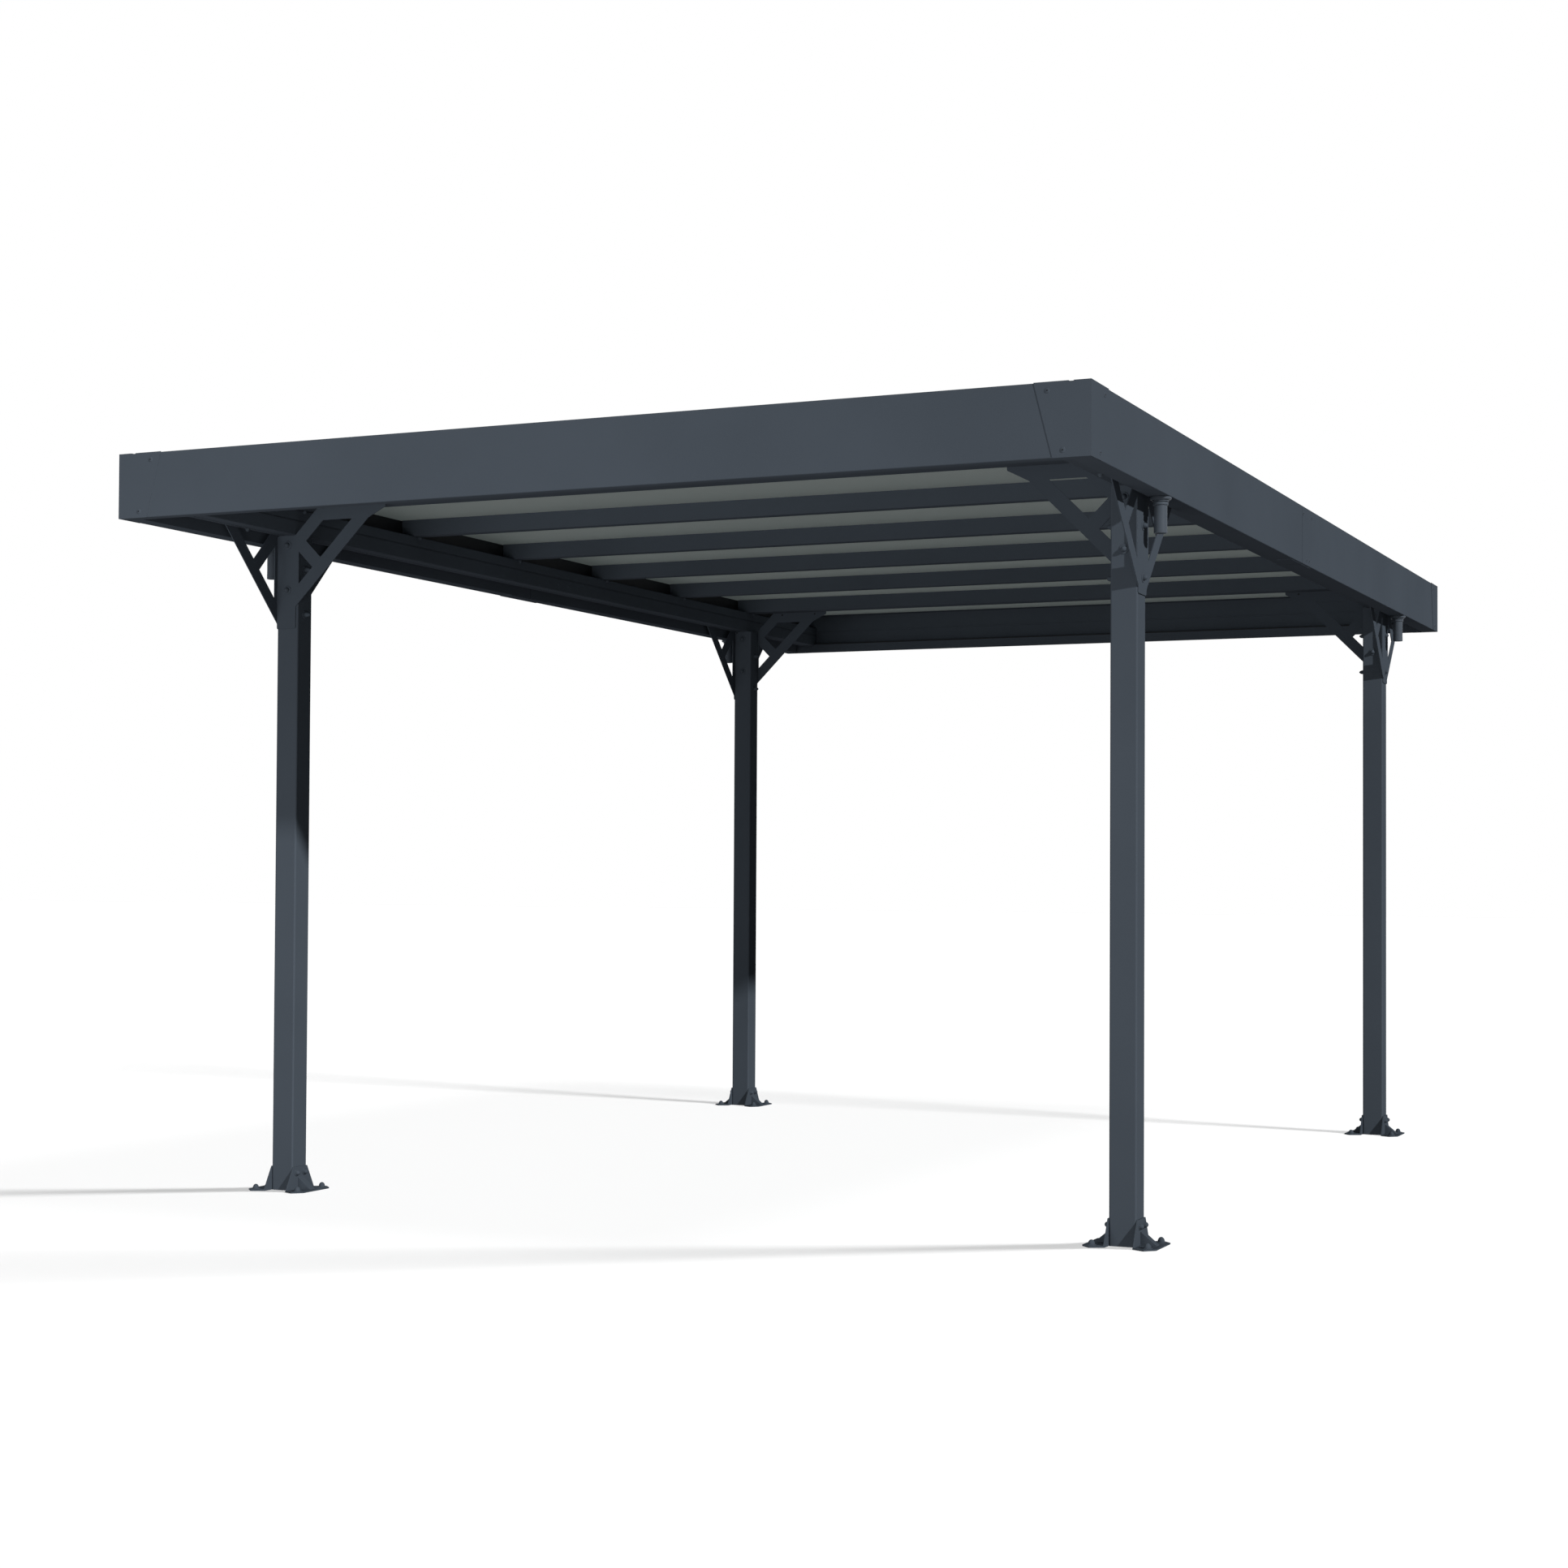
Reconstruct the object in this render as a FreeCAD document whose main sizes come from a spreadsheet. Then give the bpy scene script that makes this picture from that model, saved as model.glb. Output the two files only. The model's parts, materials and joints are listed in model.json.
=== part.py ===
import FreeCAD, Part
import math
import os
import Sketcher

# Flat-roof carport on four posts: the origin lies under its centre on the ground,
# X runs across the front, Y to the rear and Z up.

SIZES = {
    # Overall
    "roof_width": 2870,
    "roof_length": 4780,
    "overall_height": 2158,
    "fascia_height": 185,
    # Posts
    "post_size": 75,
    "post_wall": 2.5,
    "post_corner": 5,
    "post_inset_side": 78,
    "post_inset_end": 675,
    # Side beams, which lie on the posts
    "beam_width": 62,
    "beam_rise": 30,
    "beam_height": 80,
    "beam_wall": 2.5,
    "beam_corner": 3,
    "beam_groove_depth": 3,
    "beam_groove_width": 4,
    "beam_groove_rise": 44,
    "beam_slot_offset": 20,
    # Purlins and cross beams, which lie on the side beams
    "purlin_count": 4,
    "purlin_width": 40,
    "purlin_height": 54,
    "purlin_wall": 2,
    "purlin_clearance": 2,
    # Roof panels
    "panel_thickness": 8,
    "panel_joint": 6,
    "panel_setback": 18,
    # Folded fascia and gutter sheets
    "sheet": 2,
    "gutter_width": 56,
    "gutter_bearing": 12,
    "top_lip": 32,
    "end_lip": 36,
    "end_hem": 12,
    "end_ledge": 34,
    "end_rib_rise": 92,
    "end_rib": 4,
    "fold_radius": 2.5,
    "splice_offset": 95,
    "splice_overlap": 170,
    "splice_strap_length": 255,
    "splice_plate_length": 260,
    # Corner covers
    "cover_sheet": 1.5,
    "cover_reach_top": 145,
    "cover_reach_low": 97,
    "cover_fold_reach": 140,
    "cut_margin": 1,
    "cover_notch_offset": 44,
    "cover_notch_width": 13,
    "cover_notch_depth": 4,
    # Flat braces, cut from plate with bars at 45 degrees
    "brace_plate": 3,
    "brace_drop": 257,
    "brace_bar": 58,
    "brace_corner": 5,
    "brace_clearance": 2,
    "cross_tail": 68,
    "cross_shoulder": 68,
    "cross_web": 78,
    "cross_strut": 56,
    "cross_band": 70,
    "cross_reach": 388,
    "cross_top": 150,
    "side_tail": 72,
    "side_shoulder": 16,
    "side_web": 106,
    "side_strut": 50,
    "side_band": 36,
    "side_reach": 330,
    "side_top": 84,
    # Feet
    "foot_plate": 4,
    "foot_height": 72,
    "foot_top_margin": 2,
    "foot_spread": 38,
    "foot_reach": 62,
    "foot_flange_spread": 58,
    "foot_chamfer": 26,
    "foot_gusset_width": 28,
    "foot_gusset_rise": 40,
    "foot_gusset_reach": 48,
    "anchor_hole": 11,
    "anchor_out": 38,
    "anchor_along": 66,
    # Drain spouts
    "spout_diameter": 35,
    "spout_wall": 2.5,
    "spout_length": 72,
    "spout_nut_diameter": 44,
    "spout_nut_height": 9,
    "spout_flange_diameter": 52,
    "spout_flange_height": 4,
    "spout_inset": 29,
    "spout_shift": 6,
}

doc = FreeCAD.newDocument("carport")
sheet = doc.addObject("Spreadsheet::Sheet", "Sizes")
for row, (alias, value) in enumerate(SIZES.items(), start=1):
    sheet.set(f"A{row}", alias)
    sheet.set(f"B{row}", str(value))
    sheet.setAlias(f"B{row}", alias)
doc.recompute()

# Levels and lines that several pieces share, as expressions on the sheet
EAVE = "(Sizes.overall_height - Sizes.fascia_height)"
BEAM_LOW = f"({EAVE} + Sizes.beam_rise)"
BEAM_TOP = f"({BEAM_LOW} + Sizes.beam_height)"
PURLIN_TOP = f"({BEAM_TOP} + Sizes.purlin_height)"
HALF_WIDTH = "(Sizes.roof_width / 2)"
HALF_LENGTH = "(Sizes.roof_length / 2)"
POST_OUTER = f"({HALF_WIDTH} - Sizes.post_inset_side)"
POST_END = f"({HALF_LENGTH} - Sizes.post_inset_end)"
SHEET_EDGE_X = f"({HALF_WIDTH} - Sizes.cover_sheet)"
SHEET_EDGE_Y = f"({HALF_LENGTH} - Sizes.cover_sheet)"
SHEET_TOP = "(Sizes.fascia_height - Sizes.cover_sheet)"
GUTTER_HOOK_END = f"({POST_OUTER} - Sizes.gutter_bearing)"
PANEL_END = f"({SHEET_EDGE_Y} - Sizes.sheet - Sizes.panel_joint / 2)"
BAY = f"((2 * {POST_END} - Sizes.post_size) / (Sizes.purlin_count + 1))"

SIDES = {"left": -1, "right": 1}
ENDS = {"front": -1, "rear": 1}

pieces = []


def plane(body, role):
    """The body's own origin plane with that role."""
    return next(item for item in body.Origin.OriginFeatures if item.Role == role)


def new_body(label):
    """A named body that is kept as one piece of the carport."""
    body = doc.addObject("PartDesign::Body", label)
    body.Label = label
    pieces.append(body)
    return body


def keep(feature, label):
    """Name a finished object as a piece of the carport."""
    feature.Label = label
    pieces.append(feature)
    return feature


def place(feature, x="0", y="0", z="0"):
    """Bind the three coordinates of an object's place to expressions."""
    for axis, expression in zip("xyz", (x, y, z)):
        feature.setExpression(f"Placement.Base.{axis}", expression)


def sketch_on(body, name, role, level="0"):
    """A sketch on the body's own plane, lifted along its normal."""
    sketch = body.newObject("Sketcher::SketchObject", name)
    sketch.AttachmentSupport = [(plane(body, role), "")]
    sketch.MapMode = "FlatFace"
    sketch.setExpression("AttachmentOffset.Base.z", level)
    return sketch


def outline(sketch, corners):
    """Close straight lines through corners whose coordinates are expressions."""
    first = sketch.GeometryCount
    count = len(corners)
    for number in range(count):
        # The start shape only has to be a plain polygon: the constraints below place it
        angle = 2 * math.pi * number / count
        following = 2 * math.pi * (number + 1) / count
        start = FreeCAD.Vector(100 * math.cos(angle), 100 * math.sin(angle), 0)
        end = FreeCAD.Vector(100 * math.cos(following), 100 * math.sin(following), 0)
        sketch.addGeometry(Part.LineSegment(start, end), False)
    for number in range(count):
        edge = first + number
        following = first + (number + 1) % count
        sketch.addConstraint(Sketcher.Constraint("Coincident", edge, 2, following, 1))
    for number, corner in enumerate(corners):
        for kind, expression in zip(("DistanceX", "DistanceY"), corner):
            index = sketch.addConstraint(Sketcher.Constraint(kind, -1, 1, first + number, 1, 1.0))
            sketch.setExpression(f"Constraints[{index}]", expression)


def rectangle(x_low, x_high, y_low, y_high):
    """The four corners of a rectangle, anticlockwise."""
    return [(x_low, y_low), (x_high, y_low), (x_high, y_high), (x_low, y_high)]


def circle(sketch, x, y, diameter):
    """A round hole whose centre and diameter are expressions."""
    start = Part.Circle(FreeCAD.Vector(0, 0, 0), FreeCAD.Vector(0, 0, 1), 5)
    number = sketch.addGeometry(start, False)
    for kind, expression in (("DistanceX", x), ("DistanceY", y)):
        index = sketch.addConstraint(Sketcher.Constraint(kind, -1, 1, number, 3, 1.0))
        sketch.setExpression(f"Constraints[{index}]", expression)
    index = sketch.addConstraint(Sketcher.Constraint("Diameter", number, 10.0))
    sketch.setExpression(f"Constraints[{index}]", diameter)


def pad(body, sketch, length, backwards=False):
    """Pad a sketch by a length that is an expression."""
    feature = body.newObject("PartDesign::Pad", f"{sketch.Name}_pad")
    feature.Profile = sketch
    feature.setExpression("Length", length)
    feature.Reversed = backwards
    return feature


def cut(body, sketch, depth, backwards=False):
    """Pocket a sketch and make sure that it takes material away."""
    doc.recompute()
    before = body.Shape.Volume
    feature = body.newObject("PartDesign::Pocket", f"{sketch.Name}_cut")
    feature.Profile = sketch
    feature.setExpression("Length", depth)
    feature.Reversed = backwards
    doc.recompute()
    if body.Shape.Volume > before - 1:
        raise RuntimeError(f"{sketch.Name} cuts nothing")
    return feature


def round_edges(body, wanted, radius):
    """Round the straight edges of the body's last feature that the test picks."""
    doc.recompute()
    base = body.Tip
    names = [f"Edge{number}" for number, edge in enumerate(base.Shape.Edges, start=1) if wanted(edge)]
    feature = body.newObject("PartDesign::Fillet", f"{body.Name}_rounding")
    feature.Base = (base, names)
    feature.setExpression("Radius", radius)
    return feature


def runs_along(edge, axis):
    """Whether an edge is a straight one along an axis."""
    if not isinstance(edge.Curve, Part.Line):
        return False
    direction = edge.Curve.Direction
    return abs(abs(getattr(direction, axis)) - 1) < 1e-6


def fold_edges(body, axis, across, level, near):
    """Round the long edge of a folded sheet that runs along an axis at a place in its section."""
    other = "y" if axis == "x" else "x"

    def is_fold(edge):
        middle = edge.CenterOfMass
        close = abs(getattr(middle, other) - across) < near / 2 and abs(middle.z - level) < near / 2
        return close and runs_along(edge, axis)

    round_edges(body, is_fold, "Sizes.fold_radius")


def signed(sign, expression):
    """An expression, or its mirror image."""
    return expression if sign > 0 else f"-({expression})"


def make_post(side, end):
    """A square tube, closed at the top, where the side beam lies on it."""
    body = new_body(f"post_{end}_{side}")
    half = "Sizes.post_size / 2"
    section = sketch_on(body, f"post_section_{end}_{side}", "XY_Plane")
    outline(section, rectangle(f"-{half}", half, f"-{half}", half))
    pad(body, section, BEAM_LOW)
    round_edges(body, lambda edge: runs_along(edge, "z"), "Sizes.post_corner")
    inner = "(Sizes.post_size / 2 - Sizes.post_wall)"
    bore = sketch_on(body, f"post_bore_{end}_{side}", "XY_Plane")
    outline(bore, rectangle(f"-{inner}", inner, f"-{inner}", inner))
    cut(body, bore, f"{BEAM_LOW} - Sizes.post_wall", backwards=True)
    place(body,
          signed(SIDES[side], f"{POST_OUTER} - Sizes.post_size / 2"),
          signed(ENDS[end], f"{POST_END} - Sizes.post_size / 2"))


def make_side_beam(side):
    """A box beam along one side, with a groove along its inner face and a slot below."""
    body = new_body(f"side_beam_{side}")
    sign = -SIDES[side]
    width = "Sizes.beam_width"
    groove = "Sizes.beam_groove_depth"
    groove_low = "Sizes.beam_groove_rise"
    groove_top = f"({groove_low} + Sizes.beam_groove_width)"
    slot_start = "Sizes.beam_slot_offset"
    slot_end = f"({slot_start} + Sizes.beam_groove_width)"
    section = sketch_on(body, f"beam_section_{side}", "XZ_Plane")
    corners = [
        ("0", "0"), (slot_start, "0"), (slot_start, groove), (slot_end, groove), (slot_end, "0"),
        (width, "0"), (width, groove_low), (f"{width} - {groove}", groove_low),
        (f"{width} - {groove}", groove_top), (width, groove_top), (width, "Sizes.beam_height"),
        ("0", "Sizes.beam_height"),
    ]
    outline(section, [(signed(sign, x), z) for x, z in corners])
    length = f"(2 * ({SHEET_EDGE_Y} - Sizes.sheet))"
    pad(body, section, length)
    wall = "Sizes.beam_wall"
    bore = sketch_on(body, f"beam_bore_{side}", "XZ_Plane")
    corners = rectangle(wall, f"{width} - {wall} - {groove}", f"{wall} + {groove}",
                        f"Sizes.beam_height - {wall}")
    outline(bore, [(signed(sign, x), z) for x, z in corners])
    cut(body, bore, length, backwards=True)

    def is_corner(edge):
        middle = edge.CenterOfMass
        outer = min(abs(middle.x), abs(abs(middle.x) - SIZES["beam_width"])) < SIZES["sheet"] / 2
        capped = min(abs(middle.z), abs(middle.z - SIZES["beam_height"])) < SIZES["sheet"] / 2
        return outer and capped and runs_along(edge, "y")

    round_edges(body, is_corner, "Sizes.beam_corner")
    place(body, signed(SIDES[side], POST_OUTER), f"{SHEET_EDGE_Y} - Sizes.sheet", BEAM_LOW)


def make_cross_member(label, middle, width):
    """A hollow purlin or cross beam that lies on both side beams."""
    body = new_body(label)
    half = f"(({width}) / 2)"
    span = f"(2 * ({GUTTER_HOOK_END} - Sizes.purlin_clearance))"
    section = sketch_on(body, f"{label}_section", "YZ_Plane")
    outline(section, rectangle(f"-{half}", half, "0", "Sizes.purlin_height"))
    pad(body, section, span)
    wall = "Sizes.purlin_wall"
    bore = sketch_on(body, f"{label}_bore", "YZ_Plane")
    outline(bore, rectangle(f"{wall} - {half}", f"{half} - {wall}", wall, f"Sizes.purlin_height - {wall}"))
    cut(body, bore, span, backwards=True)
    place(body, f"-{span} / 2", middle, BEAM_TOP)


def make_panel(number, front, rear):
    """A flat roof panel between two lines across the roof."""
    panel = doc.addObject("Part::Box", f"roof_panel_{number}")
    reach = f"({HALF_WIDTH} - Sizes.panel_setback)"
    panel.setExpression("Length", f"2 * {reach}")
    panel.setExpression("Width", f"{rear} - {front} - Sizes.panel_joint")
    panel.setExpression("Height", "Sizes.panel_thickness")
    place(panel, f"-{reach}", f"{front} + Sizes.panel_joint / 2", PURLIN_TOP)
    keep(panel, f"roof_panel_{number}")


def make_gutter(side, end):
    """Half of a side: a fascia folded under into a gutter that hooks over the side beam."""
    name = f"gutter_fascia_{side}_{end}"
    body = new_body(name)
    sign = -SIDES[side]
    thick = "Sizes.sheet"
    inner = "Sizes.gutter_width"
    hook_low = "(Sizes.beam_rise + Sizes.beam_height)"
    hook_end = f"({SHEET_EDGE_X} - {GUTTER_HOOK_END})"
    corners = [
        ("0", "0"), (inner, "0"), (inner, hook_low), (hook_end, hook_low),
        (hook_end, f"{hook_low} + {thick}"), (f"{inner} - {thick}", f"{hook_low} + {thick}"),
        (f"{inner} - {thick}", thick), (thick, thick), (thick, f"{SHEET_TOP} - {thick}"),
        ("Sizes.top_lip", f"{SHEET_TOP} - {thick}"), ("Sizes.top_lip", SHEET_TOP), ("0", SHEET_TOP),
    ]
    section = sketch_on(body, f"{name}_section", "XZ_Plane")
    outline(section, [(signed(sign, x), z) for x, z in corners])
    seam = "Sizes.splice_offset"
    if end == "front":
        length = f"{SHEET_EDGE_Y} - {thick} - {seam}"
        start = f"-{seam}"
    else:
        length = f"{SHEET_EDGE_Y} - {thick} + {seam}"
        start = f"{SHEET_EDGE_Y} - {thick}"
    pad(body, section, length)
    if end == "front":
        # A strap behind the face and a plate below join the rear half to this one
        strap = sketch_on(body, f"{name}_strap", "XZ_Plane", "-Sizes.splice_overlap")
        corners = rectangle(thick, f"2 * {thick}", thick, f"{SHEET_TOP} - {thick}")
        outline(strap, [(signed(sign, x), z) for x, z in corners])
        pad(body, strap, "Sizes.splice_strap_length")
        plate = sketch_on(body, f"{name}_plate", "XZ_Plane", "-Sizes.splice_plate_length / 2")
        corners = rectangle(f"2 * {thick}", f"{inner} - 2 * {thick}", f"-{thick}", "0")
        outline(plate, [(signed(sign, x), z) for x, z in corners])
        pad(body, plate, "Sizes.splice_plate_length")
    # The outlet over the drain spout
    outlet = sketch_on(body, f"{name}_outlet", "XY_Plane")
    spout_line = f"{signed(ENDS[end], f'{POST_END} - Sizes.post_size / 2')} + Sizes.spout_shift"
    circle(outlet, signed(sign, "Sizes.spout_inset - Sizes.cover_sheet"), f"{spout_line} - ({start})",
           "Sizes.spout_diameter - 2 * Sizes.spout_wall")
    cut(body, outlet, thick, backwards=True)
    fold_edges(body, "y", 0, 0, SIZES["sheet"])
    place(body, signed(SIDES[side], SHEET_EDGE_X), start, EAVE)


def make_end_fascia(end):
    """The sheet across the front or the rear, with a lip below, a rib and a ledge for the panels."""
    name = f"fascia_{end}"
    body = new_body(name)
    sign = -ENDS[end]
    thick = "Sizes.sheet"
    face = sketch_on(body, f"{name}_face", "YZ_Plane", f"-{SHEET_EDGE_X}")
    outline(face, [(signed(sign, y), z) for y, z in rectangle("0", thick, "0", SHEET_TOP)])
    pad(body, face, f"2 * {SHEET_EDGE_X}")
    inner = f"({SHEET_EDGE_X} - Sizes.gutter_width)"
    ledge = "(Sizes.beam_rise + Sizes.beam_height + Sizes.purlin_height)"
    lip = [("0", "0"), ("Sizes.end_lip", "0"), ("Sizes.end_lip", "Sizes.end_hem"),
           (f"Sizes.end_lip - {thick}", "Sizes.end_hem"), (f"Sizes.end_lip - {thick}", thick), ("0", thick)]
    forms = {
        "lip": (lip, inner),
        "ledge": (rectangle("0", "Sizes.end_ledge", f"{ledge} - {thick}", ledge), inner),
        "rib": (rectangle("0", "Sizes.end_rib", "Sizes.end_rib_rise", "Sizes.end_rib_rise + Sizes.end_rib"),
                f"({POST_OUTER} - Sizes.beam_width)"),
        "top_lip": (rectangle("0", "Sizes.top_lip", f"{SHEET_TOP} - {thick}", SHEET_TOP), inner),
    }
    for form, (corners, reach) in forms.items():
        sketch = sketch_on(body, f"{name}_{form}", "YZ_Plane", f"-{reach}")
        outline(sketch, [(signed(sign, y), z) for y, z in corners])
        pad(body, sketch, f"2 * {reach}")
    fold_edges(body, "x", 0, 0, SIZES["sheet"])
    place(body, "0", signed(ENDS[end], SHEET_EDGE_Y), EAVE)


def make_corner_cover(side, end):
    """A thin sheet wrapped round one corner, with slanted ends and a notched top fold."""
    name = f"corner_cover_{end}_{side}"
    body = new_body(name)
    across, along = -SIDES[side], -ENDS[end]
    thick = "Sizes.cover_sheet"
    high = "Sizes.fascia_height"
    slant = [("0", "0"), ("Sizes.cover_reach_low", "0"), ("Sizes.cover_reach_top", high), ("0", high)]
    face = sketch_on(body, f"{name}_end_face", "XZ_Plane")
    outline(face, [(signed(across, x), z) for x, z in slant])
    pad(body, face, thick, backwards=end == "front")
    face = sketch_on(body, f"{name}_side_face", "YZ_Plane")
    outline(face, [(signed(along, y), z) for y, z in slant])
    pad(body, face, thick, backwards=side == "right")
    reach = "Sizes.cover_fold_reach"
    lip = "Sizes.top_lip"
    fold = sketch_on(body, f"{name}_fold", "XY_Plane", f"{high} - {thick}")
    corners = [("0", "0"), (reach, "0"), (reach, lip), (lip, lip), (lip, reach), ("0", reach)]
    outline(fold, [(signed(across, x), signed(along, y)) for x, y in corners])
    pad(body, fold, thick)
    notch = sketch_on(body, f"{name}_notch", "XZ_Plane")
    corners = rectangle("Sizes.cover_notch_offset", "Sizes.cover_notch_offset + Sizes.cover_notch_width",
                        f"{high} - Sizes.cover_notch_depth", f"{high} + Sizes.cut_margin")
    outline(notch, [(signed(across, x), z) for x, z in corners])
    cut(body, notch, f"{lip} + Sizes.cut_margin", backwards=end == "rear")
    place(body, signed(SIDES[side], HALF_WIDTH), signed(ENDS[end], HALF_LENGTH), EAVE)


def slope(total, level):
    """The distance out along a level at which a line rising outwards at 45 degrees stands."""
    return f"({total} + {level})"


def make_cross_brace(side, end):
    """A flat brace across the carport, from a post to the cross beam above it."""
    name = f"cross_brace_{end}_{side}"
    body = new_body(name)
    sign = -SIDES[side]
    low = "(-Sizes.brace_drop)"
    shoulder = f"({low} + Sizes.cross_shoulder)"
    outer = f"(Sizes.cross_tail - {shoulder})"
    head = "(Sizes.beam_rise - Sizes.brace_clearance)"
    inner = f"(Sizes.beam_width + Sizes.brace_clearance - {head})"
    band = "Sizes.cross_band"
    top = "Sizes.cross_top"
    reach = "Sizes.cross_reach"
    toe = f"({band} + ({reach} - {slope(outer, band)}) / 2)"
    plate = sketch_on(body, f"{name}_plate", "XZ_Plane")
    corners = [
        ("0", low), ("Sizes.cross_tail", low), ("Sizes.cross_tail", shoulder),
        (slope(outer, band), band), (reach, toe), (reach, top), (slope(inner, top), top),
        (slope(inner, head), head), ("0", head),
    ]
    outline(plate, [(signed(sign, x), z) for x, z in corners])
    pad(body, plate, "Sizes.brace_plate")
    round_edges(body, lambda edge: runs_along(edge, "y"), "Sizes.brace_corner")
    # The lower window is a triangle beside the post, the upper one a kite below the band
    web = "Sizes.cross_web"
    window = f"({outer} - Sizes.brace_bar)"
    strut = "Sizes.cross_strut"
    lower = [(web, f"{web} - {window}"), (f"({window} + {strut}) / 2", f"({strut} - {window}) / 2"),
             (web, f"{strut} - {web}")]
    over = f"({strut} + Sizes.brace_bar)"
    near = f"({inner} + Sizes.brace_bar)"
    upper = [(f"({window} + {over}) / 2", f"({over} - {window}) / 2"), (slope(window, band), band),
             (slope(near, band), band), (f"({near} + {over}) / 2", f"({over} - {near}) / 2")]
    for window_name, corners in (("lower", lower), ("upper", upper)):
        opening = sketch_on(body, f"{name}_{window_name}_window", "XZ_Plane")
        outline(opening, [(signed(sign, x), z) for x, z in corners])
        cut(body, opening, "Sizes.brace_plate", backwards=True)
    # The front left brace lies on the front of its post, and the others behind theirs
    if (side, end) == ("left", "front"):
        face = f"-{POST_END}"
    elif end == "front":
        face = f"-{POST_END} + Sizes.post_size + Sizes.brace_plate"
    else:
        face = f"{POST_END} + Sizes.brace_plate"
    place(body, signed(SIDES[side], POST_OUTER), face, EAVE)


def make_side_brace(side, end):
    """A flat brace along the side, with one arm each way from the post to the side beam."""
    name = f"side_brace_{end}_{side}"
    body = new_body(name)
    low = "(-Sizes.brace_drop)"
    tail = "(Sizes.side_tail / 2)"
    shoulder = f"({low} + Sizes.side_shoulder)"
    outer = f"({tail} - {shoulder})"
    top = "Sizes.side_top"
    reach = "Sizes.side_reach"
    half = [(tail, low), (tail, shoulder), (reach, f"{reach} - {outer}"), (reach, top)]
    plate = sketch_on(body, f"{name}_plate", "YZ_Plane")
    outline(plate, half + [(f"-({y})", z) for y, z in reversed(half)])
    pad(body, plate, "Sizes.brace_plate", backwards=side == "left")
    round_edges(body, lambda edge: runs_along(edge, "x"), "Sizes.brace_corner")
    web = "(Sizes.side_web / 2)"
    window = f"({outer} - Sizes.brace_bar)"
    strut = "Sizes.side_strut"
    over = f"({strut} + Sizes.brace_bar)"
    band = "Sizes.side_band"
    lower = [(web, f"{web} - {window}"), (f"({window} + {strut}) / 2", f"({strut} - {window}) / 2"),
             (web, f"{strut} - {web}")]
    upper = [(f"({window} + {over}) / 2", f"({over} - {window}) / 2"), (slope(window, band), band),
             (f"{over} - {band}", band)]
    for window_name, corners in (("lower", lower), ("upper", upper)):
        for arm, sign in (("rear", 1), ("front", -1)):
            opening = sketch_on(body, f"{name}_{window_name}_{arm}", "YZ_Plane")
            outline(opening, [(signed(sign, y), z) for y, z in corners])
            cut(body, opening, "Sizes.brace_plate", backwards=side == "right")
    place(body, signed(SIDES[side], POST_OUTER),
          signed(ENDS[end], f"{POST_END} - Sizes.post_size / 2"), EAVE)


def make_foot(side, end):
    """Two folded brackets that bolt a post to the ground, one on each side of it."""
    name = f"foot_{end}_{side}"
    thick = "Sizes.foot_plate"
    halves = []
    for hand, sign in (("inner", -1), ("outer", 1)):
        body = doc.addObject("PartDesign::Body", f"{name}_{hand}")
        top = "(Sizes.post_size / 2 - Sizes.foot_top_margin)"
        base = "(Sizes.post_size / 2 + Sizes.foot_spread)"
        web = sketch_on(body, f"{name}_{hand}_web", "YZ_Plane")
        outline(web, [(f"-{base}", "0"), (base, "0"), (top, "Sizes.foot_height"),
                      (f"-{top}", "Sizes.foot_height")])
        pad(body, web, thick, backwards=sign < 0)
        flange = sketch_on(body, f"{name}_{hand}_flange", "XY_Plane")
        wide = "(Sizes.post_size / 2 + Sizes.foot_flange_spread)"
        reach = "Sizes.foot_reach"
        corner = "Sizes.foot_chamfer"
        corners = [("0", f"-{base}"), (f"{reach} - {corner}", f"-{wide}"), (reach, f"{corner} - {wide}"),
                   (reach, f"{wide} - {corner}"), (f"{reach} - {corner}", wide), ("0", base)]
        outline(flange, [(signed(sign, x), y) for x, y in corners])
        pad(body, flange, thick)
        gusset = sketch_on(body, f"{name}_{hand}_gusset", "XZ_Plane", "-Sizes.foot_gusset_width / 2")
        corners = [("0", "0"), ("Sizes.foot_gusset_reach", "0"), ("Sizes.foot_gusset_reach", thick),
                   (thick, "Sizes.foot_gusset_rise"), ("0", "Sizes.foot_gusset_rise")]
        outline(gusset, [(signed(sign, x), z) for x, z in corners])
        pad(body, gusset, "Sizes.foot_gusset_width")
        holes = sketch_on(body, f"{name}_{hand}_holes", "XY_Plane")
        for y in ("-Sizes.anchor_along", "Sizes.anchor_along"):
            circle(holes, signed(sign, "Sizes.anchor_out"), y, "Sizes.anchor_hole")
        cut(body, holes, thick, backwards=True)
        centre = signed(SIDES[side], f"{POST_OUTER} - Sizes.post_size / 2")
        place(body, f"{centre} + {sign} * Sizes.post_size / 2",
              signed(ENDS[end], f"{POST_END} - Sizes.post_size / 2"))
        halves.append(body)
    foot = doc.addObject("Part::Compound", name)
    foot.Links = halves
    keep(foot, name)


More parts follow.
